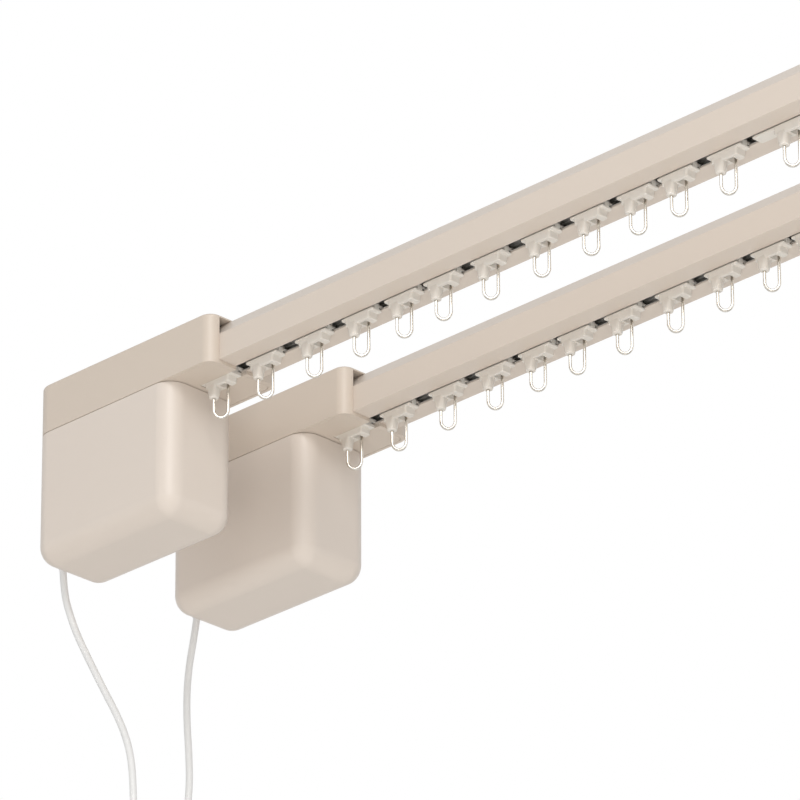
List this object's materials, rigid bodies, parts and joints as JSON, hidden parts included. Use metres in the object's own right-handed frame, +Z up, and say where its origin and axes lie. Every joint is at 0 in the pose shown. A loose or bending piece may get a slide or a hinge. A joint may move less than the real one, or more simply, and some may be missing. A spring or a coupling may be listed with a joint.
{
  "type": "electric curtain track",
  "caption": "Double motorised curtain track: belt-driven slides with wire eyes in two slotted rails, each with a gearbox, hanging motor box and power cord, under ceiling bars.",
  "frame": {"origin": "ceiling plane, midway between the two ceiling screw holes of the bar at the motor end", "axes": "+X along the rails away from the motors, +Y from the front track to the rear track, +Z up to the ceiling"},
  "size_m": [1.0235, 0.1687, 0.451],
  "materials": {
    "rail_paint": "satin warm greige powder coat on extruded aluminium",
    "gearbox_plastic": "satin warm greige moulded plastic",
    "motor_plastic": "satin warm greige moulded plastic, slightly lighter",
    "motor_steel": "zinc plated can",
    "shaft_steel": "ground steel",
    "pulley_acetal": "white acetal",
    "belt_rubber": "matt black toothed belt",
    "runner_plastic": "off-white acetal with a nickel plated wire eye",
    "board_green": "lacquered circuit board",
    "cord_pvc": "light grey flexible sheath",
    "plug_plastic": "light grey moulded plug",
    "clip_plastic": "off-white glass-filled plastic",
    "bearing_bronze": "oil-filled sintered bronze",
    "bar_steel": "greige powder coated steel"
  },
  "bodies": {
    "frame": {"rail_front": "rail_paint", "gearbox_shell_front": "gearbox_plastic", "gearbox_base_front": "gearbox_plastic", "motor_housing_front": "motor_plastic", "motor_front": "motor_steel", "belt_front": "belt_rubber", "idler_housing_front": "gearbox_plastic", "end_hook_front": "runner_plastic", "control_board_front": "board_green", "cord_front": "cord_pvc", "cord_coil_front": "cord_pvc", "rail_rear": "rail_paint", "gearbox_shell_rear": "gearbox_plastic", "gearbox_base_rear": "gearbox_plastic", "motor_housing_rear": "motor_plastic", "motor_rear": "motor_steel", "belt_rear": "belt_rubber", "idler_housing_rear": "gearbox_plastic", "end_hook_rear": "runner_plastic", "control_board_rear": "board_green", "cord_rear": "cord_pvc", "cord_coil_rear": "cord_pvc", "rail_clips": "clip_plastic", "bearings": "bearing_bronze", "idler_pins": "shaft_steel", "strain_reliefs": "cord_pvc", "plugs": "plug_plastic", "ceiling_bar_motor_end": "bar_steel", "ceiling_bar_far_end": "bar_steel"},
    "drive_front": {"drive_pulley_front": "pulley_acetal", "drive_coupling_front": "shaft_steel"},
    "idler_front": {"idler_pulley_front": "pulley_acetal"},
    "master_front": {"master_carrier_front": "runner_plastic"},
    "runner_front_01": {"runner_front_01": "runner_plastic"},
    "runner_front_02": {"runner_front_02": "runner_plastic"},
    "runner_front_03": {"runner_front_03": "runner_plastic"},
    "runner_front_04": {"runner_front_04": "runner_plastic"},
    "runner_front_05": {"runner_front_05": "runner_plastic"},
    "runner_front_06": {"runner_front_06": "runner_plastic"},
    "runner_front_07": {"runner_front_07": "runner_plastic"},
    "runner_front_08": {"runner_front_08": "runner_plastic"},
    "runner_front_09": {"runner_front_09": "runner_plastic"},
    "runner_front_10": {"runner_front_10": "runner_plastic"},
    "runner_front_11": {"runner_front_11": "runner_plastic"},
    "drive_rear": {"drive_pulley_rear": "pulley_acetal", "drive_coupling_rear": "shaft_steel"},
    "idler_rear": {"idler_pulley_rear": "pulley_acetal"},
    "master_rear": {"master_carrier_rear": "runner_plastic"},
    "runner_rear_01": {"runner_rear_01": "runner_plastic"},
    "runner_rear_02": {"runner_rear_02": "runner_plastic"},
    "runner_rear_03": {"runner_rear_03": "runner_plastic"},
    "runner_rear_04": {"runner_rear_04": "runner_plastic"},
    "runner_rear_05": {"runner_rear_05": "runner_plastic"},
    "runner_rear_06": {"runner_rear_06": "runner_plastic"},
    "runner_rear_07": {"runner_rear_07": "runner_plastic"},
    "runner_rear_08": {"runner_rear_08": "runner_plastic"},
    "runner_rear_09": {"runner_rear_09": "runner_plastic"},
    "runner_rear_10": {"runner_rear_10": "runner_plastic"},
    "runner_rear_11": {"runner_rear_11": "runner_plastic"}
  },
  "joints": [
    {"name": "master_slide_front", "type": "slide", "parent": "frame", "child": "master_front", "axis": [1, 0, 0], "range_m": [-0.1245, 0.285]},
    {"name": "drive_spin_front", "type": "hinge", "parent": "frame", "child": "drive_front", "pos_m": [0.027, -0.0555, -0.0206], "axis": [0, 0, 1], "range_deg": [-660, 1480]},
    {"name": "idler_spin_front", "type": "hinge", "parent": "frame", "child": "idler_front", "pos_m": [0.942, -0.0555, -0.0206], "axis": [0, 0, 1], "range_deg": [-660, 1480]},
    {"name": "runner_slide_front_01", "type": "slide", "parent": "frame", "child": "runner_front_01", "axis": [1, 0, 0], "range_m": [-0.00787, 0.0175]},
    {"name": "runner_slide_front_02", "type": "slide", "parent": "frame", "child": "runner_front_02", "axis": [1, 0, 0], "range_m": [-0.02302, 0.05218]},
    {"name": "runner_slide_front_03", "type": "slide", "parent": "frame", "child": "runner_front_03", "axis": [1, 0, 0], "range_m": [-0.03608, 0.08208]},
    {"name": "runner_slide_front_04", "type": "slide", "parent": "frame", "child": "runner_front_04", "axis": [1, 0, 0], "range_m": [-0.04506, 0.10263]},
    {"name": "runner_slide_front_05", "type": "slide", "parent": "frame", "child": "runner_front_05", "axis": [1, 0, 0], "range_m": [-0.05064, 0.1154]},
    {"name": "runner_slide_front_06", "type": "slide", "parent": "frame", "child": "runner_front_06", "axis": [1, 0, 0], "range_m": [-0.0626, 0.14279]},
    {"name": "runner_slide_front_07", "type": "slide", "parent": "frame", "child": "runner_front_07", "axis": [1, 0, 0], "range_m": [-0.07705, 0.17587]},
    {"name": "runner_slide_front_08", "type": "slide", "parent": "frame", "child": "runner_front_08", "axis": [1, 0, 0], "range_m": [-0.08972, 0.20486]},
    {"name": "runner_slide_front_09", "type": "slide", "parent": "frame", "child": "runner_front_09", "axis": [1, 0, 0], "range_m": [-0.09988, 0.22812]},
    {"name": "runner_slide_front_10", "type": "slide", "parent": "frame", "child": "runner_front_10", "axis": [1, 0, 0], "range_m": [-0.10507, 0.24]},
    {"name": "runner_slide_front_11", "type": "slide", "parent": "frame", "child": "runner_front_11", "axis": [1, 0, 0], "range_m": [-0.11652, 0.26622]},
    {"name": "master_slide_rear", "type": "slide", "parent": "frame", "child": "master_rear", "axis": [1, 0, 0], "range_m": [-0.1245, 0.285]},
    {"name": "drive_spin_rear", "type": "hinge", "parent": "frame", "child": "drive_rear", "pos_m": [0.031, 0.0555, -0.0206], "axis": [0, 0, 1], "range_deg": [-660, 1480]},
    {"name": "idler_spin_rear", "type": "hinge", "parent": "frame", "child": "idler_rear", "pos_m": [0.946, 0.0555, -0.0206], "axis": [0, 0, 1], "range_deg": [-660, 1480]},
    {"name": "runner_slide_rear_01", "type": "slide", "parent": "frame", "child": "runner_rear_01", "axis": [1, 0, 0], "range_m": [-0.00787, 0.0175]},
    {"name": "runner_slide_rear_02", "type": "slide", "parent": "frame", "child": "runner_rear_02", "axis": [1, 0, 0], "range_m": [-0.02302, 0.05218]},
    {"name": "runner_slide_rear_03", "type": "slide", "parent": "frame", "child": "runner_rear_03", "axis": [1, 0, 0], "range_m": [-0.03608, 0.08208]},
    {"name": "runner_slide_rear_04", "type": "slide", "parent": "frame", "child": "runner_rear_04", "axis": [1, 0, 0], "range_m": [-0.04506, 0.10263]},
    {"name": "runner_slide_rear_05", "type": "slide", "parent": "frame", "child": "runner_rear_05", "axis": [1, 0, 0], "range_m": [-0.05064, 0.1154]},
    {"name": "runner_slide_rear_06", "type": "slide", "parent": "frame", "child": "runner_rear_06", "axis": [1, 0, 0], "range_m": [-0.0626, 0.14279]},
    {"name": "runner_slide_rear_07", "type": "slide", "parent": "frame", "child": "runner_rear_07", "axis": [1, 0, 0], "range_m": [-0.07705, 0.17587]},
    {"name": "runner_slide_rear_08", "type": "slide", "parent": "frame", "child": "runner_rear_08", "axis": [1, 0, 0], "range_m": [-0.08972, 0.20486]},
    {"name": "runner_slide_rear_09", "type": "slide", "parent": "frame", "child": "runner_rear_09", "axis": [1, 0, 0], "range_m": [-0.09988, 0.22812]},
    {"name": "runner_slide_rear_10", "type": "slide", "parent": "frame", "child": "runner_rear_10", "axis": [1, 0, 0], "range_m": [-0.10507, 0.24]},
    {"name": "runner_slide_rear_11", "type": "slide", "parent": "frame", "child": "runner_rear_11", "axis": [1, 0, 0], "range_m": [-0.11652, 0.26622]}
  ],
  "couplings": [
    {"joint": "drive_spin_front", "follows": "master_slide_front", "rad_per_m": 89.76},
    {"joint": "idler_spin_front", "follows": "master_slide_front", "rad_per_m": 89.76},
    {"joint": "runner_slide_front_01", "follows": "master_slide_front", "ratio": 0.06},
    {"joint": "runner_slide_front_02", "follows": "master_slide_front", "ratio": 0.1817},
    {"joint": "runner_slide_front_03", "follows": "master_slide_front", "ratio": 0.2866},
    {"joint": "runner_slide_front_04", "follows": "master_slide_front", "ratio": 0.3587},
    {"joint": "runner_slide_front_05", "follows": "master_slide_front", "ratio": 0.4035},
    {"joint": "runner_slide_front_06", "follows": "master_slide_front", "ratio": 0.4996},
    {"joint": "runner_slide_front_07", "follows": "master_slide_front", "ratio": 0.6157},
    {"joint": "runner_slide_front_08", "follows": "master_slide_front", "ratio": 0.7174},
    {"joint": "runner_slide_front_09", "follows": "master_slide_front", "ratio": 0.799},
    {"joint": "runner_slide_front_10", "follows": "master_slide_front", "ratio": 0.8407},
    {"joint": "runner_slide_front_11", "follows": "master_slide_front", "ratio": 0.9327},
    {"joint": "drive_spin_rear", "follows": "master_slide_rear", "rad_per_m": 89.76},
    {"joint": "idler_spin_rear", "follows": "master_slide_rear", "rad_per_m": 89.76},
    {"joint": "runner_slide_rear_01", "follows": "master_slide_rear", "ratio": 0.06},
    {"joint": "runner_slide_rear_02", "follows": "master_slide_rear", "ratio": 0.1817},
    {"joint": "runner_slide_rear_03", "follows": "master_slide_rear", "ratio": 0.2866},
    {"joint": "runner_slide_rear_04", "follows": "master_slide_rear", "ratio": 0.3587},
    {"joint": "runner_slide_rear_05", "follows": "master_slide_rear", "ratio": 0.4035},
    {"joint": "runner_slide_rear_06", "follows": "master_slide_rear", "ratio": 0.4996},
    {"joint": "runner_slide_rear_07", "follows": "master_slide_rear", "ratio": 0.6157},
    {"joint": "runner_slide_rear_08", "follows": "master_slide_rear", "ratio": 0.7174},
    {"joint": "runner_slide_rear_09", "follows": "master_slide_rear", "ratio": 0.799},
    {"joint": "runner_slide_rear_10", "follows": "master_slide_rear", "ratio": 0.8407},
    {"joint": "runner_slide_rear_11", "follows": "master_slide_rear", "ratio": 0.9327}
  ]
}
